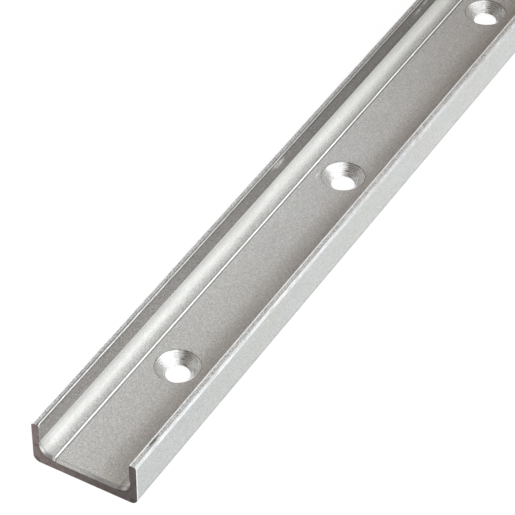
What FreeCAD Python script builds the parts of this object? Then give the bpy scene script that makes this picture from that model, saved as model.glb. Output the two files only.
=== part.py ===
"""Guide rail for roller sliders: a drawn steel U section with a concave raceway in each inner corner.

Frame: X across the rail, Y along it, Z up, origin at the middle of the base. Millimetres.
"""
import FreeCAD
import Part
import math
import os

# Overall section and cut length
RAIL_WIDTH = 28.0
RAIL_HEIGHT = 12.0
RAIL_LENGTH = 480.0

# Walls: the web is the floor of the U, a flange stands on each side of it
WEB_THICKNESS = 3.0
FLANGE_THICKNESS = 1.9

# Rounded edges of the section
BASE_CORNER_RADIUS = 1.8
FLANGE_OUTER_EDGE_RADIUS = 0.7
FLANGE_INNER_EDGE_RADIUS = 0.45

# Raceway: a quarter round in each inner corner, set back behind the flange's upper face
RACEWAY_RADIUS = 3.5
RACEWAY_SETBACK = 0.25

# Shoulder between a raceway and the web's floor: a narrow flat, then a bevel down
SHOULDER_HEIGHT = 0.2
SHOULDER_FLAT = 0.35
SHOULDER_BEVEL = 0.4

# Screw holes along the middle of the web, countersunk from above for M5 heads
HOLE_PITCH = 80.0
SCREW_HOLE_DIAMETER = 6.0
COUNTERSINK_DIAMETER = 11.2
COUNTERSINK_ANGLE = 90.0

# Sawn ends: the channel's lower edge is filed to a slant, this far down the end and along the channel
FILED_EDGE_DEPTH = 0.7
FILED_EDGE_LENGTH = 0.5

# How far a cutting tool reaches past the face that it enters or leaves by
TOOL_OVERRUN = 1.0

# How far the file is smaller than the channel all round, so that it stays clear of the raceways' tops
FILE_CLEARANCE = 0.1

# Places of the section, on its half at X > 0, that follow from these sizes
OUTER_X = RAIL_WIDTH / 2
INNER_X = OUTER_X - FLANGE_THICKNESS
RACEWAY_X = INNER_X + RACEWAY_SETBACK - RACEWAY_RADIUS
SHOULDER_Z = WEB_THICKNESS + SHOULDER_HEIGHT
RACEWAY_Z = SHOULDER_Z + RACEWAY_RADIUS
BEVEL_X = RACEWAY_X - SHOULDER_FLAT
FLOOR_X = BEVEL_X - SHOULDER_BEVEL


def at(x, z):
    """A point of the section, drawn on the plane Y = 0."""
    return FreeCAD.Vector(x, 0, z)


def line(start, end):
    return Part.LineSegment(start, end).toShape()


def quarter_arc(centre, radius, start_degrees):
    """A quarter circle that runs anticlockwise, as seen with X to the right and Z up."""

    def on_circle(degrees):
        angle = math.radians(degrees)
        return centre + FreeCAD.Vector(radius * math.cos(angle), 0, radius * math.sin(angle))

    start, middle, end = (on_circle(start_degrees + turn) for turn in (0, 45, 90))
    return Part.Arc(start, middle, end).toShape()


def channel_bottom(clearance):
    """Edges at X > 0 from a raceway's top to the floor's middle, set into the channel by the clearance."""
    radius = RACEWAY_RADIUS - clearance
    shoulder_z = SHOULDER_Z + clearance
    floor_z = WEB_THICKNESS + clearance
    return [
        quarter_arc(at(RACEWAY_X, RACEWAY_Z), radius, 270),
        line(at(RACEWAY_X, shoulder_z), at(BEVEL_X, shoulder_z)),
        line(at(BEVEL_X, shoulder_z), at(FLOOR_X, floor_z)),
        line(at(FLOOR_X, floor_z), at(0, floor_z)),
    ]


def half_section():
    """Edges of the section's half at X > 0, from the middle of the base to the middle of the floor."""
    base_round = at(OUTER_X - BASE_CORNER_RADIUS, BASE_CORNER_RADIUS)
    outer_round = at(OUTER_X - FLANGE_OUTER_EDGE_RADIUS, RAIL_HEIGHT - FLANGE_OUTER_EDGE_RADIUS)
    inner_round = at(INNER_X + FLANGE_INNER_EDGE_RADIUS, RAIL_HEIGHT - FLANGE_INNER_EDGE_RADIUS)

    return [
        line(at(0, 0), at(base_round.x, 0)),
        quarter_arc(base_round, BASE_CORNER_RADIUS, 270),
        line(at(OUTER_X, base_round.z), at(OUTER_X, outer_round.z)),
        quarter_arc(outer_round, FLANGE_OUTER_EDGE_RADIUS, 0),
        line(at(outer_round.x, RAIL_HEIGHT), at(inner_round.x, RAIL_HEIGHT)),
        quarter_arc(inner_round, FLANGE_INNER_EDGE_RADIUS, 90),
        line(at(INNER_X, inner_round.z), at(INNER_X, RACEWAY_Z)),
        line(at(INNER_X, RACEWAY_Z), at(RACEWAY_X + RACEWAY_RADIUS, RACEWAY_Z)),
    ] + channel_bottom(0)


def face_of(half):
    """The face inside an outline, from its edges at X > 0 and their mirror image."""
    mirrored = [edge.mirror(at(0, 0), FreeCAD.Vector(1, 0, 0)) for edge in half]
    return Part.Face(Part.Wire(Part.__sortEdges__(half + mirrored)))


def rail_blank():
    """The drawn section, cut to length and centred on the origin along Y."""
    section = face_of(half_section())
    section.translate(FreeCAD.Vector(0, -RAIL_LENGTH / 2, 0))
    return section.extrude(FreeCAD.Vector(0, RAIL_LENGTH, 0))


def filed_edge_tool():
    """What a file takes off the near end: the channel's bottom, carried along a path that rises inwards.

    At the end the tool lies the filed depth below the channel's bottom, and it comes out of the floor
    where the filed length ends. It starts as far again outside the end, and leaves as far again above
    the floor.
    """
    top = line(at(0, RACEWAY_Z), at(RACEWAY_X + RACEWAY_RADIUS - FILE_CLEARANCE, RACEWAY_Z))
    tool = face_of([top] + channel_bottom(FILE_CLEARANCE))
    rise = FreeCAD.Vector(0, FILED_EDGE_LENGTH, FILED_EDGE_DEPTH)
    at_end = FreeCAD.Vector(0, -RAIL_LENGTH / 2, -FILE_CLEARANCE - FILED_EDGE_DEPTH)
    tool.translate(at_end - rise)
    return tool.extrude(rise * 3)


def hole_places():
    """Y of each screw hole: evenly spaced about the middle, no nearer to an end than half a pitch."""
    count = math.floor(RAIL_LENGTH / HOLE_PITCH + 1e-9)
    return [(i - (count - 1) / 2) * HOLE_PITCH for i in range(count)]


def screw_hole_tool(y):
    """What the drill and the countersink take out of the web at one hole."""
    up = FreeCAD.Vector(0, 0, 1)
    drill = Part.makeCylinder(
        SCREW_HOLE_DIAMETER / 2,
        WEB_THICKNESS + 2 * TOOL_OVERRUN,
        FreeCAD.Vector(0, y, -TOOL_OVERRUN),
        up,
    )
    slope = math.tan(math.radians(COUNTERSINK_ANGLE / 2))
    sink_depth = (COUNTERSINK_DIAMETER - SCREW_HOLE_DIAMETER) / 2 / slope
    sink = Part.makeCone(
        SCREW_HOLE_DIAMETER / 2,
        COUNTERSINK_DIAMETER / 2 + TOOL_OVERRUN * slope,
        sink_depth + TOOL_OVERRUN,
        FreeCAD.Vector(0, y, WEB_THICKNESS - sink_depth),
        up,
    )
    return drill.fuse(sink)


def guide_rail():
    near_file = filed_edge_tool()
    far_file = near_file.mirror(at(0, 0), FreeCAD.Vector(0, 1, 0))
    tools = [screw_hole_tool(y) for y in hole_places()] + [near_file, far_file]
    return rail_blank().cut(tools).Solids[0]


os.makedirs("parts", exist_ok=True)
guide_rail().exportStep("parts/guide_rail.step")
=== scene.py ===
"""Looks of the drawn steel guide rail: its finishes, marks of making and use, the highlights and shade
painted into its colour, the light and the camera.
"""
import math
import bpy
import numpy as np
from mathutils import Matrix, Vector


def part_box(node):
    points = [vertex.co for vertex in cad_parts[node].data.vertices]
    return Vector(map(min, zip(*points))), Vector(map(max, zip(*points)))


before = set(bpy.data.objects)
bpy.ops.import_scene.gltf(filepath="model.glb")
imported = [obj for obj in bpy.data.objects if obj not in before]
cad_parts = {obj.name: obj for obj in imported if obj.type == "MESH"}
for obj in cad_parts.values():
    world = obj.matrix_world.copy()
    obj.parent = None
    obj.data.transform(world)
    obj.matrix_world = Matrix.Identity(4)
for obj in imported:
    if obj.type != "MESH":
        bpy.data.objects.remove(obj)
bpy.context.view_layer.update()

MM = 0.001
RAIL = "guide_rail"

# Section of the rail, in metres, as it is drawn
WEB_THICKNESS = 3.0 * MM
FLANGE_THICKNESS = 1.9 * MM
FLANGE_OUTER_EDGE_RADIUS = 0.7 * MM
FLANGE_INNER_EDGE_RADIUS = 0.45 * MM
BASE_CORNER_RADIUS = 1.8 * MM
RACEWAY_RADIUS = 3.5 * MM
RACEWAY_SETBACK = 0.25 * MM
SHOULDER_HEIGHT = 0.2 * MM
SHOULDER_FLAT = 0.35 * MM
SHOULDER_BEVEL = 0.4 * MM
HOLE_PITCH = 80.0 * MM
SCREW_HOLE_RADIUS = 3.0 * MM
COUNTERSINK_RADIUS = 5.6 * MM
FILED_EDGE_LENGTH = 0.5 * MM

_, rail_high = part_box(RAIL)
HALF_WIDTH = rail_high.x
HALF_LENGTH = rail_high.y
RAIL_HEIGHT = rail_high.z
INNER_FACE_X = HALF_WIDTH - FLANGE_THICKNESS
RACEWAY_X = INNER_FACE_X + RACEWAY_SETBACK - RACEWAY_RADIUS
SHOULDER_Z = WEB_THICKNESS + SHOULDER_HEIGHT
RACEWAY_Z = SHOULDER_Z + RACEWAY_RADIUS
BEVEL_X = RACEWAY_X - SHOULDER_FLAT
FLOOR_X = BEVEL_X - SHOULDER_BEVEL
# Foot of a countersink, which is as deep as its slope is wide
SINK_FOOT_Z = WEB_THICKNESS - COUNTERSINK_RADIUS + SCREW_HOLE_RADIUS

# Camera, from the fit of the photograph: the image's side in pixels, angles in degrees
IMAGE_SIDE = 515
FOCAL_PIXELS = 2705.0
CAMERA_AZIMUTH = 30.45
CAMERA_ELEVATION = 42.12
CAMERA_DISTANCE = 669.3 * MM
TARGET_FROM_LEFT_FACE = 9.18 * MM
TARGET_FROM_NEAR_END = 85.24 * MM
SENSOR_WIDTH = 36.0
CAMERA_NEAREST = 0.01
CAMERA_FARTHEST = 100.0

# World light: a tent that is brighter on the right and at the back
TENT_BRIGHT_SIDE = (0.55, 0.75, 0.36)
TENT_LEVEL = 0.265
TENT_SWING = 0.335
TENT_LEAST = 0.10
TENT_COLOUR = (1.13, 1.0, 0.92, 1)

# A long soft box, high on the right
SOFT_BOX_DIRECTION = (0.72, -0.10, 0.69)
SOFT_BOX_DISTANCE = 1.2
SOFT_BOX_SIZE = (2.1, 0.70)
SOFT_BOX_WATTS = 11.1
SOFT_BOX_COLOUR = (0.94, 1.0, 1.03)

# Two boxes with a grid that favour the near end: direction and watts of each, spread in degrees
GRID_BOXES = {
    "grid_box_right": ((0.72, 0.0, 0.69), 0.049),
    "grid_box_overhead": ((0.05, 0.0, 1.0), 0.034),
}
GRID_BOX_DISTANCE = 0.8
GRID_BOX_FROM_NEAR_END = 40.0 * MM
GRID_BOX_SIZE = (0.25, 0.25)
GRID_BOX_SPREAD = 9.0

# A low strip on the left that only grazes the flanges' tops
LOW_STRIP_DIRECTION = (-0.96, 0.0, 0.27)
LOW_STRIP_DISTANCE = 1.2
LOW_STRIP_SIZE = (1.6, 0.25)
LOW_STRIP_WATTS = 9.5

# White floor: its side, its colour, its own light and the share of that in what is seen of it
FLOOR_SIDE = 40.0
FLOOR_COLOUR = (0.9, 0.9, 0.9, 1)
FLOOR_GLOW = 1.03
FLOOR_GLOW_SHARE = 0.92
WHITE = (1, 1, 1, 1)

# Limits of the surfaces, in metres. A pair is a limit and how far it is softened on each side, and a single
# limit is softened by SOFT. A depth is measured from the sawn end
SOFT = 0.02 * MM
TOP_FROM_Z = (RAIL_HEIGHT - 0.05 * MM, 0.04 * MM)
UPPER_FACE_TO_X = INNER_FACE_X + 0.06 * MM
FACE_HEAD_TO_X = INNER_FACE_X + 0.15 * MM
OUTER_FACE_FROM_X = HALF_WIDTH - 0.05 * MM
LEFT_INNER_EDGE_FROM_Z = RAIL_HEIGHT - 0.20 * MM
LEFT_INNER_EDGE_TO_X = (INNER_FACE_X + 0.18 * MM, 0.04 * MM)
RIGHT_INNER_EDGE_FROM_Z = RAIL_HEIGHT - 0.40 * MM
RIGHT_INNER_EDGE_TO_X = (INNER_FACE_X + 0.39 * MM, 0.05 * MM)
EDGE_SHADE_LINE_FROM_Z = RAIL_HEIGHT - 0.2 * MM
OUTER_EDGE_FROM_Z = (RAIL_HEIGHT - 0.72 * MM, 0.1 * MM)
OUTER_EDGE_FROM_X = (HALF_WIDTH - 0.45 * MM, 0.1 * MM)
BASE_EDGE_TO_Z = (1.6 * MM, 0.4 * MM)
BASE_EDGE_FROM_X = HALF_WIDTH - 1.8 * MM
LEDGE_FROM_X = INNER_FACE_X - 0.05 * MM
LEDGE_TO_X = INNER_FACE_X + 0.4 * MM
RACEWAY_REACH = RACEWAY_RADIUS + 1.1 * MM
BEVEL_FROM_X = FLOOR_X + 0.04 * MM
BEVEL_TO_X = BEVEL_X - 0.06 * MM
WEB_TOP_Z = (WEB_THICKNESS - 0.02 * MM, 0.01 * MM)
WEB_BOTTOM_Z = 0.03 * MM
ON_WEB_FROM_Z = 2.0 * MM
HOLE_TO_RADIUS = COUNTERSINK_RADIUS + 0.2 * MM
BORE_TO_RADIUS = SCREW_HOLE_RADIUS + 0.05 * MM
SAWN_TO_DEPTH = (0.015 * MM, 0.01 * MM)
BURR_GLINT_TO_DEPTH = (0.45 * MM, 0.05 * MM)
# The bevel takes a painted highlight on the whole left side, and on the right side only this far from the
# sawn end
HIGHLIT_SIDE_FROM_DEPTH = (8.0 * MM, 1.0 * MM)

# Narrow bands of the surfaces, in metres: middle, half width and how far the band fades outside that
# These bands carry painted light: dark lines of painted shade at the left edge, ledge, bevel foot, bore edge,
# rim and filed foot, and bands whose painted light changes along the rail
FACE_HEAD_Z = (RAIL_HEIGHT - 0.52 * MM, 0.14 * MM, 0.18 * MM)
FACE_FOOT_Z = (RACEWAY_Z + 0.4 * MM, 0.4 * MM, 0.8 * MM)
FACE_LINE_Z = (RAIL_HEIGHT - 1.15 * MM, 0.10 * MM, 0.15 * MM)
EDGE_CREST_Z = (RAIL_HEIGHT - 0.21 * MM, 0.07 * MM, 0.08 * MM)
EDGE_SIDE_Z = (RAIL_HEIGHT - 0.56 * MM, 0.14 * MM, 0.10 * MM)
EDGE_SHADE_LINE_X = (INNER_FACE_X + 0.42 * MM, 0.1 * MM, 0.12 * MM)
LEDGE_Z = (RACEWAY_Z - 0.10 * MM, 0.10 * MM, 0.12 * MM)
BEVEL_FOOT_X = (FLOOR_X - 0.14 * MM, 0.08 * MM, 0.12 * MM)
BORE_EDGE_Z = (SINK_FOOT_Z + 0.03 * MM, 0.06 * MM, 0.06 * MM)
RIM_RADIUS = (COUNTERSINK_RADIUS + 0.02 * MM, 0.05 * MM, 0.1 * MM)
FILED_FOOT_DEPTH = (FILED_EDGE_LENGTH + 0.16 * MM, 0.10 * MM, 0.12 * MM)

# Sectors of a screw hole, in degrees: direction from +X towards +Y, and how far from there the sector ends
# and where it is full
# These sectors paint light round each countersink: painted shade at the bore's edge, a painted highlight in
# the bright sector (which also has smoother, deeper rings) and painted shade in the shaded sector
BORE_EDGE_SECTOR = (50.0, 68.0, 40.0)
BRIGHT_SECTOR = (28.0, 104.0, 72.0)
SHADED_SECTOR = (225.0, 62.0, 14.0)

# True rounds: how softly an arc takes over, how far a countersink reaches, and how close a round's normal
# has to lie to the facet's, as a cosine and its softening
ARC_SOFT = 0.001 * MM
ROUND_SINK_TO_RADIUS = COUNTERSINK_RADIUS + 0.05 * MM
CLOSE_COSINE = (0.93, 0.02)

# Textures of the steel: turns of the noise in a metre along X, Y and Z, its detail and its roughness
TEXTURES = {
    "Grain": ((5230.0, 4970.0, 5110.0), 0.0, 0.5),
    "Streak": ((3200.0, 60.0, 3200.0), 2.0, 0.6),
    "Dash": ((310.0, 420.0, 310.0), 2.0, 0.6),
    "Cloud": ((160.0, 60.0, 160.0), 3.0, 0.55),
    "Tint": ((90.0, 75.0, 120.0), 2.0, 0.5),
}

# Rings of the countersink and comb of the file: a wave that wanders, and is weak or strong in patches. These
# are given as a range of their noise and the strengths at its ends
RING_WAVE = {"pitch": 0.37 * MM, "wander_scale": 250.0, "wander": 4.0,
             "patch_scale": 120.0, "patches": (-0.2, 0.2, 0.3, 1.0)}
COMB_WAVE = {"pitch": 0.42 * MM, "wander_scale": 900.0, "wander": 5.0,
             "patch_scale": 400.0, "patches": (-0.15, 0.15, 0.2, 1.0)}
RING_SHARE = 0.6
GROOVE_SHARE = 2.0
GROOVES_PER_METRE = 5300.0
GROOVES_PER_RADIAN = 2.5

# Sawn end: lean of the saw lines, turns of their noise in a metre across and along them, and of the blotches
SAW_LEAN = 0.5
SAW_ACROSS = 2600.0
SAW_ALONG = 500.0
BLOTCH_SCALE = 700.0
SAWN_DETAIL = 2.0
SAWN_ROUGHNESS = 0.6

# Wear: middle and half sizes of each pale scuff and dark mark, in millimetres, and how the edges fray
# and fade
PALE_SCUFFS = [
    ((-12.1, -131.3, 10.4), (0.4, 2.4, 0.95)),
    ((-12.1, -133.2, 11.1), (0.4, 2.4, 0.70)),
    ((-12.1, -57.3, 9.9), (0.4, 2.3, 0.60)),
    ((-12.1, -53.2, 10.4), (0.4, 1.9, 0.60)),
    ((-12.1, -239.5, 11.4), (0.35, 0.4, 0.42)),
    ((14.0, -204.3, 1.4), (0.4, 0.5, 0.34)),
    ((-5.95, -122.7, 3.0), (0.11, 1.4, 0.30)),
]
DARK_MARKS = [
    ((12.95, -231.0, 12.0), (0.36, 2.7, 0.30)),
    ((-12.4, -239.75, 12.0), (0.25, 0.3, 0.30)),
]
RAGGED_SCALE = 2500.0
RAGGED_SHARE = 0.8
SPOT_FADE = (0.5, 1.1)

# Finishes: base colour, metallic and roughness, of the bare skin and of the zones that are laid over it, in
# this order
DRAWN_SKIN = ((0.605, 0.619, 0.602), 0.95, 0.40)
SATIN = ((0.510, 0.508, 0.498), 0.25, 0.50)
FINISHES = {
    "Top": ((0.524, 0.538, 0.544), 0.50, 0.42),
    "Upper Face": ((0.375, 0.356, 0.342), 0.60, 0.32),
    "Raceway": ((0.624, 0.628, 0.608), 0.25, 0.44),
    "Shoulder On Highlit Side": ((0.370, 0.368, 0.361), 0.30, 0.50),
    "Floor": SATIN,
    "Bevel": SATIN,
    # Painted highlight: the bevel is near white on the side the light falls on
    "Bevel Highlight": ((0.980, 0.980, 0.970), 0.04, 0.35),
    "Countersink": ((0.600, 0.596, 0.587), 1.00, 0.50),
    "Bore": ((0.950, 0.950, 0.940), 1.00, 0.20),
    # The flange edges are lit and shaded copies of one edge finish, set apart left and right: their colours
    # paint highlights, strongest on the near-white right inner edge
    "Left Inner Edge": ((0.650, 0.660, 0.662), 0.40, 0.30),
    "Right Inner Edge": ((0.960, 0.980, 0.985), 0.00, 0.40),
    "Left Outer Edge": ((0.840, 0.840, 0.830), 0.20, 0.35),
    "Right Outer Edge": ((0.740, 0.775, 0.790), 0.60, 0.32),
    # A real burr at the cut, painted as a bright glint along the outer face
    "End Burr Glint": ((0.950, 0.950, 0.940), 0.90, 0.30),
    "Filed Edge": ((0.560, 0.548, 0.532), 0.20, 0.50),
    # Painted highlights: the filed corners' pale colours paint the crescents of light on them
    "Left Filed Corner": ((0.920, 0.915, 0.900), 0.20, 0.40),
    "Right Filed Corner": ((0.950, 0.900, 0.880), 0.85, 0.28),
    "Scuff": ((0.900, 0.885, 0.870), 0.20, 0.50),
    "Mark": ((0.100, 0.100, 0.095), 0.10, 0.60),
    # The sawn end's very dark colour is partly bare cut steel and partly painted shade, as the end faces away
    # from the light
    "Sawn End": ((0.118, 0.093, 0.088), 0.10, 0.65),
}
BRIGHT_SINK_ROUGHNESS = 0.33
RING_ROUGHNESS = 0.22

# Units of the measures that a change of tone can follow
UNITS = {"Across": MM, "Along": MM, "From End": MM, "Raceway Turn": math.radians(1)}

# How much grain and streaks change the brightness, on the bare skin and then by zone: a number, or a change,
# with the measure that it follows, where it starts and stops there, and its first and last value
GRAIN_ON_SKIN = 0.9
GRAIN_BY_ZONE = {
    "Floor": 1.25,
    "Top": 2.4,
    "Raceway": ("Raceway Turn", 55, 70, 0.60, 1.4),
    "Upper Face": 2.8,
    "Outer Face": 1.25,
    "Countersink": 1.3,
    "Flange Edges": 0.6,
}
STREAK_ON_SKIN = 0.15
STREAK_BY_ZONE = {"Raceway": 0.28, "Outer Edge": 0.7, "Upper Face": 0.4}
CLOUD_SHARE = 0.10

# Marks that change the brightness of one zone: zone, texture and how much
MARKS = [
    ("Dashed Edges", "Dash", 0.6),
    ("Countersink", "Ring", 0.50),
    ("Filed Web", "Comb", 0.5),
    ("Sawn End", "Saw", 1.0),
    ("Sawn End", "Blotch", 1.4),
]

# Factors of the brightness by zone: a number, or a change as above
TONES = [
    # Painted light: the changes along the rail paint how the light falls off away from the near end, darker
    # on most zones and lighter on the outer face; near the end the right edge's crest and side paint the
    # shape of its highlight
    ("Upper Face", ("Along", -190.0, -105.0, 1.0, 0.64)),
    ("Face Foot", ("Along", -210.0, -60.0, 1.0, 0.78)),
    ("Left Face Head", ("Along", -190.0, -105.0, 0.74, 0.55)),
    ("Left Top", ("Along", -150.0, -100.0, 1.0, 0.84)),
    ("Shoulder On Highlit Side", ("Along", -170.0, -80.0, 1.0, 0.80)),
    ("Face Line", ("Along", -160.0, -60.0, 1.0, 1.12)),
    ("Outer Face", ("Along", -200.0, -60.0, 0.95, 1.05)),
    ("Left Inner Edge", ("Along", -200.0, -80.0, 1.25, 0.66)),
    ("Right Outer Edge", ("Along", -200.0, -60.0, 1.02, 0.86)),
    ("Right Edge Crest", ("Along", -205.0, -165.0, 0.76, 1.0)),
    ("Right Edge Side", ("Along", -205.0, -165.0, 1.16, 1.0)),
    # Painted shade: a dark line at the foot of the bevel highlight
    ("Bevel Foot Shade", ("Along", -170.0, -80.0, 0.38, 0.15)),
    # Painted shade: a dark line round each countersink's rim and at the bore's edge in one sector. Painted
    # highlight in each countersink's bright sector, painted shade in its shaded sector
    ("Rim", 0.55),
    ("Bore Edge", 0.40),
    ("Bright Sink", 1.66),
    ("Shaded Sink", 0.80),
    # Painted shade: a dark line on the left flange's top beside its inner edge
    ("Left Edge Shade Line", 0.50),
    # Painted shade: a dark line under the upper face's ledge, darkest near the end
    ("Ledge", ("Along", -180.0, -100.0, 0.08, 0.26)),
    # Painted shade on the outer face's base round, which faces down
    ("Base Edge", 0.62),
    # Painted shade: a dark line on the web just past the filed edge, and the filed band darker towards the
    # right flange, in its shade
    ("Filed Foot", 0.72),
    ("Filed Web", ("Across", -2.5, 3.5, 1.08, 0.58)),
    # Painted highlight: the right filed corner's crescent, by its turn
    ("Right Filed Corner", ("Raceway Turn", 48, 68, 0.30, 1.05)),
    # The sawn end is lighter towards the left flange and darker towards the right
    ("Sawn End", ("Across", -12.5, 6.0, 1.9, 0.9)),
    # Painted highlight and shade across the raceway by its turn, and painted shade near the sawn end
    ("Raceway", ("Raceway Turn", 8, 15, 1.08, 0.91)),
    ("Raceway", ("Raceway Turn", 16, 25, 1.0, 1.10)),
    ("Raceway", ("From End", 0.5, 4.0, 0.84, 1.0)),
]
# Raceway: from one tone to another over a range of its turn, with soft ends: a painted highlight that fades
# to painted shade towards its foot
ROUND_TURN = (math.radians(42), math.radians(84))
ROUND_TONES = (1.11, 0.76)
# Painted highlight: a bright crescent in the left filed corner: its band of the turn, and the tones outside
# and inside it
CRESCENT_TURN = (math.radians(42), math.radians(3), math.radians(18))
CRESCENT_TONES = (0.42, 1.0)

# Tints: two that the outer faces vary between, one for these faces near the end, and a warm one for the web's
# right part that paints the colour of its shade
COOL_TINT = (0.985, 1.0, 1.022, 1)
WARM_TINT = (1.016, 1.0, 0.985, 1)
TINT_RANGE = (-0.22, 0.22)
NEAR_END_TINT = (0.986, 0.995, 1.014, 1)
NEAR_END_TO_Y = (24.0 * MM - HALF_LENGTH, 9.0 * MM)
WEB_SHADE_TINT = (1.022, 1.0, 0.974, 1)
WEB_SHADE_TINT_X = (0.0, 5.0 * MM)

# Heights of the relief, in millimetres
GRAIN_HEIGHT = 0.004
RING_HEIGHT = 0.010
BRIGHT_RING_HEIGHT = 0.014
COMB_HEIGHT = 0.02
SAW_HEIGHT = 0.05

# Nodes: socket types of the groups, places of a mix node's two inputs and its result, middle of a noise
VECTOR = "NodeSocketVector"
VALUE = "NodeSocketFloat"
MIX_SOCKETS = {"FLOAT": (2, 3, 0), "VECTOR": (4, 5, 1), "RGBA": (6, 7, 2)}
NOISE_MIDDLE = 0.5


def place_camera():
    """A camera that looks at a point of the base plane from the given azimuth, elevation and distance."""
    azimuth = math.radians(CAMERA_AZIMUTH)
    elevation = math.radians(CAMERA_ELEVATION)
    back = np.array([
        math.sin(azimuth) * math.cos(elevation),
        -math.cos(azimuth) * math.cos(elevation),
        math.sin(elevation),
    ])
    target = np.array([TARGET_FROM_LEFT_FACE - HALF_WIDTH, TARGET_FROM_NEAR_END - HALF_LENGTH, 0.0])
    data = bpy.data.cameras.new("camera")
    data.sensor_width = SENSOR_WIDTH
    data.lens = FOCAL_PIXELS / IMAGE_SIDE * SENSOR_WIDTH
    data.clip_start = CAMERA_NEAREST
    data.clip_end = CAMERA_FARTHEST
    camera = bpy.data.objects.new("camera", data)
    camera.location = target + back * CAMERA_DISTANCE
    camera.rotation_euler = (math.pi / 2 - elevation, 0.0, azimuth)
    bpy.context.scene.collection.objects.link(camera)
    bpy.context.scene.camera = camera


def add(tree, kind, inputs=None, **settings):
    """A new node: settings are its properties, and each input takes a value or a link from a socket."""
    node = tree.nodes.new(kind)
    for name, value in settings.items():
        setattr(node, name, value)
    for key, value in (inputs or {}).items():
        if isinstance(value, bpy.types.NodeSocket):
            tree.links.new(value, node.inputs[key])
        else:
            node.inputs[key].default_value = value
    return node


def maths(tree, operation, *values):
    return add(tree, "ShaderNodeMath", dict(enumerate(values)), operation=operation).outputs[0]


def vector_maths(tree, operation, *vectors):
    """A number for a dot product or a length, else a vector."""
    node = add(tree, "ShaderNodeVectorMath", dict(enumerate(vectors)), operation=operation)
    return node.outputs["Value" if operation in ("DOT_PRODUCT", "LENGTH") else "Vector"]


def times(tree, first, *others):
    """The product of some masks or values."""
    for other in others:
        first = maths(tree, "MULTIPLY", first, other)
    return first


def largest(tree, first, *others):
    for other in others:
        first = maths(tree, "MAXIMUM", first, other)
    return first


def outside(tree, mask):
    """1 where a mask is 0."""
    return maths(tree, "SUBTRACT", 1.0, mask)


def hypotenuse(tree, first, second):
    return maths(tree, "SQRT", maths(tree, "ADD", times(tree, first, first), times(tree, second, second)))


def blend(tree, kind, share, first, second):
    """first where share is 0, second where it is 1."""
    to_first, to_second, result = MIX_SOCKETS[kind]
    inputs = {0: share, to_first: first, to_second: second}
    return add(tree, "ShaderNodeMix", inputs, data_type=kind).outputs[result]


def blend_colour(tree, share, first, second):
    return blend(tree, "RGBA", share, first, second)


def blend_value(tree, share, first, second):
    return blend(tree, "FLOAT", share, first, second)


def blend_vector(tree, share, first, second):
    return blend(tree, "VECTOR", share, first, second)


def ramp(tree, value, low, high, to_low=0.0, to_high=1.0, shape="LINEAR"):
    """value carried from the range low..high to to_low..to_high, held at the ends."""
    inputs = {0: value, 1: low, 2: high, 3: to_low, 4: to_high}
    return add(tree, "ShaderNodeMapRange", inputs, interpolation_type=shape).outputs[0]


def over(tree, value, edge, soft=SOFT):
    """1 where value is over the edge and 0 where it is under, softened by a little on each side."""
    return ramp(tree, value, edge - soft, edge + soft)


def under(tree, value, edge, soft=SOFT):
    return ramp(tree, value, edge - soft, edge + soft, 1.0, 0.0)


def band(tree, value, middle, half, soft):
    """1 within half of the middle, falling to 0 over the soft width outside it."""
    away = maths(tree, "ABSOLUTE", maths(tree, "SUBTRACT", value, middle))
    return ramp(tree, away, half, half + soft, 1.0, 0.0)


def split(tree, vector):
    return add(tree, "ShaderNodeSeparateXYZ", {0: vector}).outputs


def joined(tree, *parts):
    """The vector of some parts. A part that is left out is 0."""
    return add(tree, "ShaderNodeCombineXYZ", dict(enumerate(parts))).outputs[0]


def noise(tree, vector, scale=1.0, detail=2.0, roughness=0.5):
    """Cloudy noise about 0, mostly within -0.5..0.5."""
    inputs = {"Vector": vector, "Scale": scale, "Detail": detail, "Roughness": roughness}
    node = add(tree, "ShaderNodeTexNoise", inputs)
    return maths(tree, "SUBTRACT", node.outputs[0], NOISE_MIDDLE)


def wandering_wave(tree, place, along, pitch, wander_scale, wander, patch_scale, patches):
    """A wave about 0 along a value, that wanders from its pitch and is weak or strong in patches."""
    shift = times(tree, noise(tree, place, wander_scale, detail=1.0), wander)
    phase = maths(tree, "ADD", times(tree, along, 2 * math.pi / pitch), shift)
    strength = ramp(tree, noise(tree, place, patch_scale, detail=1.0), *patches)
    return times(tree, maths(tree, "SINE", phase), strength)


def from_hole(tree, x, y):
    """How far a place lies along the rail from the nearest screw hole's middle, and its radius from there."""
    along = maths(tree, "SUBTRACT", maths(tree, "WRAP", y, HOLE_PITCH, 0.0), HOLE_PITCH / 2)
    return along, hypotenuse(tree, x, along)


def new_material(name):
    """A material without nodes yet, and its tree."""
    material = bpy.data.materials.new(name)
    material.use_nodes = True
    material.node_tree.nodes.clear()
    return material, material.node_tree


def new_group(name, inputs):
    """An empty shader group and its inputs, which are given as name: socket type."""
    tree = bpy.data.node_groups.new(name, "ShaderNodeTree")
    for socket, kind in inputs.items():
        tree.interface.new_socket(socket, in_out="INPUT", socket_type=kind)
    return tree, add(tree, "NodeGroupInput").outputs


def put_out(tree, results, kind=VALUE):
    """The group, with an output for each result, all of one socket type."""
    for name in results:
        tree.interface.new_socket(name, in_out="OUTPUT", socket_type=kind)
    made = add(tree, "NodeGroupOutput").inputs
    for name, socket in results.items():
        tree.links.new(socket, made[name])
    return tree


def use(tree, group, inputs):
    """The outputs of a group, by name."""
    return dict(add(tree, "ShaderNodeGroup", inputs, node_tree=group).outputs.items())


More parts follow.
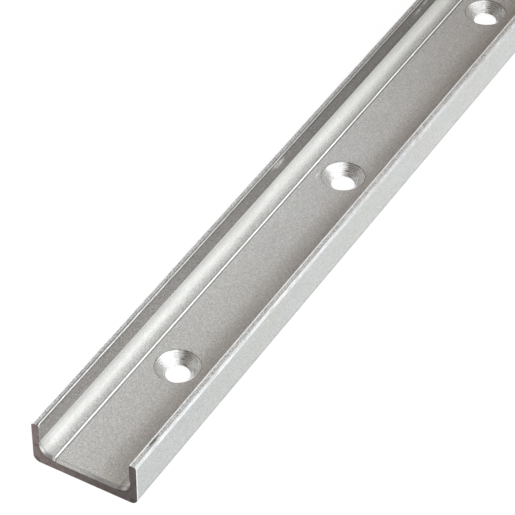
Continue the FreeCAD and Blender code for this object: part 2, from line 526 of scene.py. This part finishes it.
def light_tent():
    """World light: level plus swing times the cosine to the bright side, never under the least."""
    world = bpy.data.worlds.new("light_tent")
    world.use_nodes = True
    tree = world.node_tree
    tree.nodes.clear()
    direction = add(tree, "ShaderNodeTexCoord").outputs["Generated"]
    length = math.sqrt(sum(c * c for c in TENT_BRIGHT_SIDE))
    cosine = vector_maths(tree, "DOT_PRODUCT", direction, [c / length for c in TENT_BRIGHT_SIDE])
    level = maths(tree, "ADD", times(tree, cosine, TENT_SWING), TENT_LEVEL)
    strength = largest(tree, level, TENT_LEAST)
    background = add(tree, "ShaderNodeBackground", {"Color": TENT_COLOUR, "Strength": strength})
    add(tree, "ShaderNodeOutputWorld", {"Surface": background.outputs[0]})
    bpy.context.scene.world = world


def hang_lamp(data, middle, direction, distance):
    """A lamp at the given distance from a point, in a direction, that faces the point."""
    lamp = bpy.data.objects.new(data.name, data)
    direction = np.array(direction) / np.linalg.norm(direction)
    lamp.location = np.array(middle) + direction * distance
    lamp.rotation_euler = (math.acos(direction[2]), 0.0, math.atan2(direction[0], -direction[1]))
    bpy.context.scene.collection.objects.link(lamp)


def box_light(name, size, watts):
    data = bpy.data.lights.new(name, "AREA")
    data.shape = "RECTANGLE"
    data.size, data.size_y = size
    data.energy = watts
    return data


def lamps():
    """Soft box and low strip, even along the rail, and the boxes with a grid, whose light fades along it."""
    near_half = (0.0, -HALF_LENGTH / 2, 0.0)
    soft_box = box_light("soft_box", SOFT_BOX_SIZE, SOFT_BOX_WATTS)
    soft_box.color = SOFT_BOX_COLOUR
    hang_lamp(soft_box, near_half, SOFT_BOX_DIRECTION, SOFT_BOX_DISTANCE)
    near_end = (0.0, GRID_BOX_FROM_NEAR_END - HALF_LENGTH, 0.0)
    for name, (direction, watts) in GRID_BOXES.items():
        grid_box = box_light(name, GRID_BOX_SIZE, watts)
        grid_box.color = SOFT_BOX_COLOUR
        grid_box.spread = math.radians(GRID_BOX_SPREAD)
        hang_lamp(grid_box, near_end, direction, GRID_BOX_DISTANCE)
    low_strip = box_light("low_strip", LOW_STRIP_SIZE, LOW_STRIP_WATTS)
    hang_lamp(low_strip, near_half, LOW_STRIP_DIRECTION, LOW_STRIP_DISTANCE)


def pale_floor():
    """A white floor under the rail. What the camera and reflections see of it is mostly its own white."""
    half = FLOOR_SIDE / 2
    corners = [(-half, -half, 0), (half, -half, 0), (half, half, 0), (-half, half, 0)]
    mesh = bpy.data.meshes.new("floor")
    mesh.from_pydata(corners, [], [(0, 1, 2, 3)])
    floor = bpy.data.objects.new("floor", mesh)
    bpy.context.scene.collection.objects.link(floor)
    material, tree = new_material("white_floor")
    matt = add(tree, "ShaderNodeBsdfDiffuse", {"Color": FLOOR_COLOUR})
    glow = add(tree, "ShaderNodeEmission", {"Color": WHITE, "Strength": FLOOR_GLOW})
    path = add(tree, "ShaderNodeLightPath").outputs
    seen = largest(tree, path["Is Camera Ray"], path["Is Glossy Ray"], path["Is Transmission Ray"])
    share = times(tree, seen, FLOOR_GLOW_SHARE)
    mix = add(tree, "ShaderNodeMixShader", {0: share, 1: matt.outputs[0], 2: glow.outputs[0]})
    add(tree, "ShaderNodeOutputMaterial", {"Surface": mix.outputs[0]})
    mesh.materials.append(material)


def section_zones():
    """Masks of the rail's surfaces, and measures of a place: across, along, from an end and from a hole."""
    tree, given = new_group("section_zones", {"Place": VECTOR})
    x, y, z = split(tree, given["Place"])
    across = maths(tree, "ABSOLUTE", x)
    from_end = maths(tree, "SUBTRACT", HALF_LENGTH, maths(tree, "ABSOLUTE", y))

    def above(height, soft=SOFT):
        return over(tree, z, height, soft)

    def within(distance, soft=SOFT):
        """1 nearer to the rail's middle plane than the distance, on both sides."""
        return under(tree, across, distance, soft)

    def beyond(distance, soft=SOFT):
        return over(tree, across, distance, soft)

    # Raceway: inside the quarter circle's radius and a little more, where the file cuts deeper
    beside = maths(tree, "SUBTRACT", across, RACEWAY_X)
    below = maths(tree, "SUBTRACT", RACEWAY_Z, z)
    raceway = times(tree, over(tree, beside, 0.0), over(tree, below, 0.0),
                    under(tree, hypotenuse(tree, beside, below), RACEWAY_REACH))

    # Screw holes: by the radius from the nearest hole's middle
    along, radius = from_hole(tree, x, y)
    in_hole = times(tree, under(tree, radius, HOLE_TO_RADIUS),
                    under(tree, z, *WEB_TOP_Z), above(WEB_BOTTOM_Z))

    def sector(direction, widest, full):
        """1 in a direction round the hole, 0 past the widest angle from it."""
        aim = math.radians(direction)
        reach = maths(tree, "ADD", times(tree, x, math.cos(aim)), times(tree, along, math.sin(aim)))
        cosine = maths(tree, "DIVIDE", reach, radius)
        return ramp(tree, cosine, math.cos(math.radians(widest)), math.cos(math.radians(full)))

    left = under(tree, x, 0.0)
    right = over(tree, x, 0.0)
    on_web = above(ON_WEB_FROM_Z)
    end = under(tree, from_end, *SAWN_TO_DEPTH)
    bottom = largest(tree, raceway, times(tree, within(RACEWAY_X), on_web))
    filed = times(tree, bottom, under(tree, from_end, FILED_EDGE_LENGTH), outside(tree, end))
    filed_corner = times(tree, filed, raceway)
    # Side with the painted bevel highlight: the whole left side, and the right side away from the near end,
    # where that bevel lies in shade
    highlit_side = largest(tree, left, over(tree, from_end, *HIGHLIT_SIDE_FROM_DEPTH))

    top = above(*TOP_FROM_Z)
    bevel = times(tree, beyond(BEVEL_FROM_X), within(BEVEL_TO_X), on_web)
    outer_face = beyond(OUTER_FACE_FROM_X)
    by_outer_edge = beyond(*OUTER_EDGE_FROM_X)
    outer_edge = times(tree, above(*OUTER_EDGE_FROM_Z), by_outer_edge)
    left_inner_edge = times(tree, above(LEFT_INNER_EDGE_FROM_Z), left, within(*LEFT_INNER_EDGE_TO_X))
    right_inner_edge = times(tree, above(RIGHT_INNER_EDGE_FROM_Z), right, within(*RIGHT_INNER_EDGE_TO_X))
    bright_sector = sector(*BRIGHT_SECTOR)
    return put_out(tree, {
        "Across": x,
        "Along": y,
        "From End": from_end,
        "Raceway Turn": maths(tree, "ARCTAN2", below, beside),
        "Hole Radius": radius,
        "Hole Angle": maths(tree, "ARCTAN2", along, x),
        "Top": top,
        "Left Top": times(tree, top, left),
        "Left Inner Edge": left_inner_edge,
        "Right Inner Edge": right_inner_edge,
        # Painted shade: a dark line beside the left inner edge
        "Left Edge Shade Line": times(tree, band(tree, across, *EDGE_SHADE_LINE_X), above(EDGE_SHADE_LINE_FROM_Z), left),
        "Outer Edge": outer_edge,
        "Left Outer Edge": times(tree, outer_edge, left),
        "Right Outer Edge": times(tree, outer_edge, right),
        "Right Edge Crest": times(tree, band(tree, z, *EDGE_CREST_Z), by_outer_edge, right),
        "Right Edge Side": times(tree, band(tree, z, *EDGE_SIDE_Z), by_outer_edge, right),
        "Dashed Edges": largest(tree, left_inner_edge, outer_edge),
        "Flange Edges": largest(tree, left_inner_edge, right_inner_edge, outer_edge),
        "Outer Face": outer_face,
        "Face Line": times(tree, band(tree, z, *FACE_LINE_Z), outer_face),
        # Painted shade on the base round
        "Base Edge": times(tree, under(tree, z, *BASE_EDGE_TO_Z), beyond(BASE_EDGE_FROM_X)),
        "Upper Face": times(tree, above(RACEWAY_Z), within(UPPER_FACE_TO_X)),
        "Left Face Head": times(tree, band(tree, z, *FACE_HEAD_Z), within(FACE_HEAD_TO_X), left),
        "Face Foot": times(tree, band(tree, z, *FACE_FOOT_Z), above(RACEWAY_Z), within(UPPER_FACE_TO_X)),
        # Painted shade under the ledge
        "Ledge": times(tree, band(tree, z, *LEDGE_Z), beyond(LEDGE_FROM_X), within(LEDGE_TO_X)),
        "Raceway": raceway,
        # The bevel's painted highlight and the painted shade at its foot, on the highlit side
        "Shoulder On Highlit Side": times(tree, beyond(BEVEL_X), within(RACEWAY_X), on_web, highlit_side),
        "Bevel": bevel,
        "Bevel Highlight": times(tree, bevel, highlit_side),
        "Bevel Foot Shade": times(tree, band(tree, across, *BEVEL_FOOT_X), on_web, highlit_side),
        "Floor": times(tree, within(FLOOR_X), above(*WEB_TOP_Z)),
        # Painted shade at the rim and the bore's edge, a painted highlight in the bright sector and painted
        # shade in the shaded one
        "Rim": times(tree, band(tree, radius, *RIM_RADIUS), on_web),
        "Countersink": in_hole,
        "Bright Sector": bright_sector,
        "Bright Sink": times(tree, in_hole, bright_sector),
        "Shaded Sink": times(tree, in_hole, sector(*SHADED_SECTOR)),
        "Bore": times(tree, in_hole, under(tree, radius, BORE_TO_RADIUS)),
        "Bore Edge": times(tree, in_hole, band(tree, z, *BORE_EDGE_Z), sector(*BORE_EDGE_SECTOR)),
        "Filed Edge": filed,
        "Filed Web": times(tree, filed, outside(tree, raceway)),
        # The filed corners carry painted highlights
        "Left Filed Corner": times(tree, filed_corner, left),
        "Right Filed Corner": times(tree, filed_corner, right),
        # Painted shade: a dark line just past the filed edge
        "Filed Foot": times(tree, bottom, band(tree, from_end, *FILED_FOOT_DEPTH)),
        # Painted glint on the burr at the cut
        "End Burr Glint": times(tree, outer_face, under(tree, from_end, *BURR_GLINT_TO_DEPTH)),
        "Sawn End": end,
    })


def true_rounds():
    """Normals of the section's arcs, the countersinks and the bores, where the mesh has flat facets.

    They are worked out from the arcs' centres and the holes' middles. A normal is taken only where it lies
    close to the facet's own, so the cut ends keep theirs.
    """
    tree, given = new_group("true_rounds", {"Place": VECTOR, "Facet": VECTOR})
    facet = given["Facet"]
    x, y, z = split(tree, given["Place"])
    across = maths(tree, "ABSOLUTE", x)
    side = maths(tree, "SIGN", x)
    normal = facet

    def unit(*parts):
        return vector_maths(tree, "NORMALIZE", joined(tree, *parts))

    # Each arc: its centre, to which side and height it lies from there, and if its normal points outwards
    raceway = (RACEWAY_X, RACEWAY_Z, 1, -1, -1)
    base = (HALF_WIDTH - BASE_CORNER_RADIUS, BASE_CORNER_RADIUS, 1, -1, 1)
    outer = (HALF_WIDTH - FLANGE_OUTER_EDGE_RADIUS, RAIL_HEIGHT - FLANGE_OUTER_EDGE_RADIUS, 1, 1, 1)
    inner = (INNER_FACE_X + FLANGE_INNER_EDGE_RADIUS, RAIL_HEIGHT - FLANGE_INNER_EDGE_RADIUS, -1, 1, 1)
    for centre_x, centre_z, to_side, to_top, outward in (raceway, base, outer, inner):
        off_x = maths(tree, "SUBTRACT", across, centre_x)
        off_z = maths(tree, "SUBTRACT", z, centre_z)
        beside = over(tree, times(tree, off_x, to_side), 0.0, ARC_SOFT)
        beyond = over(tree, times(tree, off_z, to_top), 0.0, ARC_SOFT)
        arc = unit(times(tree, off_x, side, outward), 0.0, times(tree, off_z, outward))
        normal = blend_vector(tree, times(tree, beside, beyond), normal, arc)

    along, radius = from_hole(tree, x, y)
    in_hole = times(tree, under(tree, radius, ROUND_SINK_TO_RADIUS), under(tree, z, WEB_THICKNESS))
    inward = times(tree, x, -1.0), times(tree, along, -1.0)
    hole = blend_vector(tree, over(tree, z, SINK_FOOT_Z), unit(*inward, 0.0), unit(*inward, radius))
    normal = blend_vector(tree, in_hole, normal, hole)

    close = over(tree, vector_maths(tree, "DOT_PRODUCT", normal, facet), *CLOSE_COSINE)
    chosen = vector_maths(tree, "NORMALIZE", blend_vector(tree, close, facet, normal))
    return put_out(tree, {"Normal": chosen}, VECTOR)


def drawn_grain():
    """Textures of drawn steel about 0: fine grain, streaks along the rail, short dashes, clouds and tints."""
    tree, given = new_group("drawn_grain", {"Place": VECTOR})
    results = {}
    for name, (scale, detail, roughness) in TEXTURES.items():
        stretched = vector_maths(tree, "MULTIPLY", given["Place"], scale)
        results[name] = noise(tree, stretched, detail=detail, roughness=roughness)
    return put_out(tree, results)


def turned_rings():
    """Rings that the countersink leaves, about 0, with fine grooves from a noise stretched round the hole."""
    tree, given = new_group("turned_rings", {"Place": VECTOR, "Radius": VALUE, "Angle": VALUE})
    wave = wandering_wave(tree, given["Place"], given["Radius"], **RING_WAVE)
    round_hole = joined(tree, times(tree, given["Radius"], GROOVES_PER_METRE),
                        times(tree, given["Angle"], GROOVES_PER_RADIAN))
    groove = noise(tree, round_hole, detail=1.0)
    ring = maths(tree, "MULTIPLY_ADD", groove, GROOVE_SHARE, times(tree, wave, RING_SHARE))
    return put_out(tree, {"Ring": ring})


def saw_marks():
    """Marks about 0: slanted saw lines and blotches on the cut, and the file's comb across its edge."""
    tree, given = new_group("saw_marks", {"Place": VECTOR})
    place = given["Place"]
    parts = split(tree, place)
    x, z = parts["X"], parts["Z"]
    slant = maths(tree, "ADD", x, times(tree, z, SAW_LEAN))
    lines = joined(tree, times(tree, slant, SAW_ACROSS), times(tree, z, SAW_ALONG))
    return put_out(tree, {
        "Saw": noise(tree, lines, detail=SAWN_DETAIL, roughness=SAWN_ROUGHNESS),
        "Blotch": noise(tree, place, BLOTCH_SCALE, SAWN_DETAIL, SAWN_ROUGHNESS),
        "Comb": wandering_wave(tree, place, x, **COMB_WAVE),
    })


def wear_spots():
    """Masks of single scuffs and marks: inside an ellipsoid about each middle, with a ragged edge."""
    tree, given = new_group("wear_spots", {"Place": VECTOR})
    ragged = noise(tree, given["Place"], RAGGED_SCALE)

    def spot(middle, half):
        offset = vector_maths(tree, "SUBTRACT", given["Place"], [c * MM for c in middle])
        scaled = vector_maths(tree, "MULTIPLY", offset, [1 / (h * MM) for h in half])
        reach = maths(tree, "MULTIPLY_ADD", ragged, RAGGED_SHARE, vector_maths(tree, "LENGTH", scaled))
        return ramp(tree, reach, *SPOT_FADE, 1.0, 0.0)

    return put_out(tree, {
        "Scuff": largest(tree, *[spot(*sizes) for sizes in PALE_SCUFFS]),
        "Mark": largest(tree, *[spot(*sizes) for sizes in DARK_MARKS]),
    })


def level(tree, zone, value):
    """A number as it is, or the change that a tuple of the tables above describes."""
    if not isinstance(value, tuple):
        return value
    measure, start, stop, first, last = value
    unit = UNITS[measure]
    return ramp(tree, zone[measure], start * unit, stop * unit, first, last)


def by_zone(tree, zone, value, levels):
    """value, and over it the level of each zone in turn."""
    for name, zone_level in levels.items():
        value = blend_value(tree, zone[name], value, level(tree, zone, zone_level))
    return value


def finish_by_zone(tree, zone, ring):
    """Base colour, metallic and roughness: the bare skin, and over it the finish of each zone in turn. Some
    zones' colours are painted highlights: the bevel, the flange edges, the filed corners and the burr at the
    cut.
    """
    skin_colour, metallic, roughness = DRAWN_SKIN
    colour = (*skin_colour, 1)
    for name, (zone_colour, zone_metallic, zone_roughness) in FINISHES.items():
        colour = blend_colour(tree, zone[name], colour, (*zone_colour, 1))
        metallic = blend_value(tree, zone[name], metallic, zone_metallic)
        roughness = blend_value(tree, zone[name], roughness, zone_roughness)
    roughness = blend_value(tree, zone["Bright Sink"], roughness, BRIGHT_SINK_ROUGHNESS)
    in_sink = times(tree, zone["Countersink"], ring)
    return colour, metallic, maths(tree, "MULTIPLY_ADD", in_sink, RING_ROUGHNESS, roughness)


def brightness(tree, zone, texture):
    """Brightness of the base colour about 1: the textures and marks first, then the tone of each zone, most
    of which paints light and shade.
    """
    grain = by_zone(tree, zone, GRAIN_ON_SKIN, GRAIN_BY_ZONE)
    streak = by_zone(tree, zone, STREAK_ON_SKIN, STREAK_BY_ZONE)
    bright = maths(tree, "MULTIPLY_ADD", texture["Grain"], grain, 1.0)
    bright = maths(tree, "MULTIPLY_ADD", texture["Streak"], streak, bright)
    bright = maths(tree, "MULTIPLY_ADD", texture["Cloud"], CLOUD_SHARE, bright)
    for name, mark, share in MARKS:
        bright = maths(tree, "MULTIPLY_ADD", times(tree, zone[name], texture[mark]), share, bright)

    turn = zone["Raceway Turn"]
    # Painted highlight and shade across the raceway by its turn
    raceway_round = ramp(tree, turn, *ROUND_TURN, *ROUND_TONES, "SMOOTHSTEP")
    # Painted highlight: the bright crescent in the left filed corner
    crescent = blend_value(tree, band(tree, turn, *CRESCENT_TURN), *CRESCENT_TONES)
    tones = TONES + [("Raceway", raceway_round), ("Left Filed Corner", crescent)]
    for name, tone in tones:
        bright = times(tree, bright, blend_value(tree, zone[name], 1.0, level(tree, zone, tone)))
    return bright


def tint_by_zone(tree, zone, clouds):
    """Slight tints of the base colour, about white; the warm one on the web's right part paints the colour of
    its shade.
    """
    tint = blend_colour(tree, ramp(tree, clouds, *TINT_RANGE), COOL_TINT, WARM_TINT)
    tint = blend_colour(tree, under(tree, zone["Along"], *NEAR_END_TO_Y), tint, NEAR_END_TINT)
    tint = blend_colour(tree, zone["Outer Face"], WHITE, tint)
    # Painted shade colour: the web's right part, in the right flange's shade, is tinted warm
    right_web = times(tree, zone["Floor"], ramp(tree, zone["Across"], *WEB_SHADE_TINT_X))
    return blend_colour(tree, right_web, tint, WEB_SHADE_TINT)


def relief(tree, zone, texture):
    """Height of grain, rings, comb and saw lines, in millimetres."""
    ring_height = blend_value(tree, zone["Bright Sector"], RING_HEIGHT, BRIGHT_RING_HEIGHT)
    height = times(tree, texture["Grain"], GRAIN_HEIGHT)
    marks = [
        ("Countersink", "Ring", ring_height),
        ("Filed Web", "Comb", COMB_HEIGHT),
        ("Sawn End", "Saw", SAW_HEIGHT),
    ]
    for name, mark, mark_height in marks:
        height = maths(tree, "ADD", height, times(tree, zone[name], texture[mark], mark_height))
    return height


def drawn_steel():
    """Satin drawn steel: each surface of the section has its own finish, with grain, marks and wear on it,
    and with painted highlights and shade in its colour.
    """
    material, tree = new_material("drawn_steel_finish")
    place = add(tree, "ShaderNodeTexCoord").outputs["Object"]
    zone = use(tree, section_zones(), {"Place": place})
    zone.update(use(tree, wear_spots(), {"Place": place}))
    hole = {"Radius": zone["Hole Radius"], "Angle": zone["Hole Angle"]}
    texture = use(tree, drawn_grain(), {"Place": place})
    texture.update(use(tree, turned_rings(), {"Place": place, **hole}))
    texture.update(use(tree, saw_marks(), {"Place": place}))

    colour, metallic, roughness = finish_by_zone(tree, zone, texture["Ring"])
    bright = brightness(tree, zone, texture)
    colour = add(tree, "ShaderNodeVectorMath", {0: colour, "Scale": bright}, operation="SCALE").outputs[0]
    colour = vector_maths(tree, "MULTIPLY", colour, tint_by_zone(tree, zone, texture["Tint"]))

    facet = add(tree, "ShaderNodeNewGeometry").outputs["True Normal"]
    rounds = use(tree, true_rounds(), {"Place": place, "Facet": facet})
    height = relief(tree, zone, texture)
    bump = add(tree, "ShaderNodeBump", {
        "Height": height, "Strength": 1.0, "Distance": MM, "Normal": rounds["Normal"]})
    shader = add(tree, "ShaderNodeBsdfPrincipled", {
        "Base Color": colour, "Metallic": metallic, "Roughness": roughness, "Normal": bump.outputs[0]})
    add(tree, "ShaderNodeOutputMaterial", {"Surface": shader.outputs[0]})
    return material


bpy.context.scene.view_settings.view_transform = "Standard"
place_camera()
light_tent()
lamps()
pale_floor()
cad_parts[RAIL].material_slots[0].material = drawn_steel()
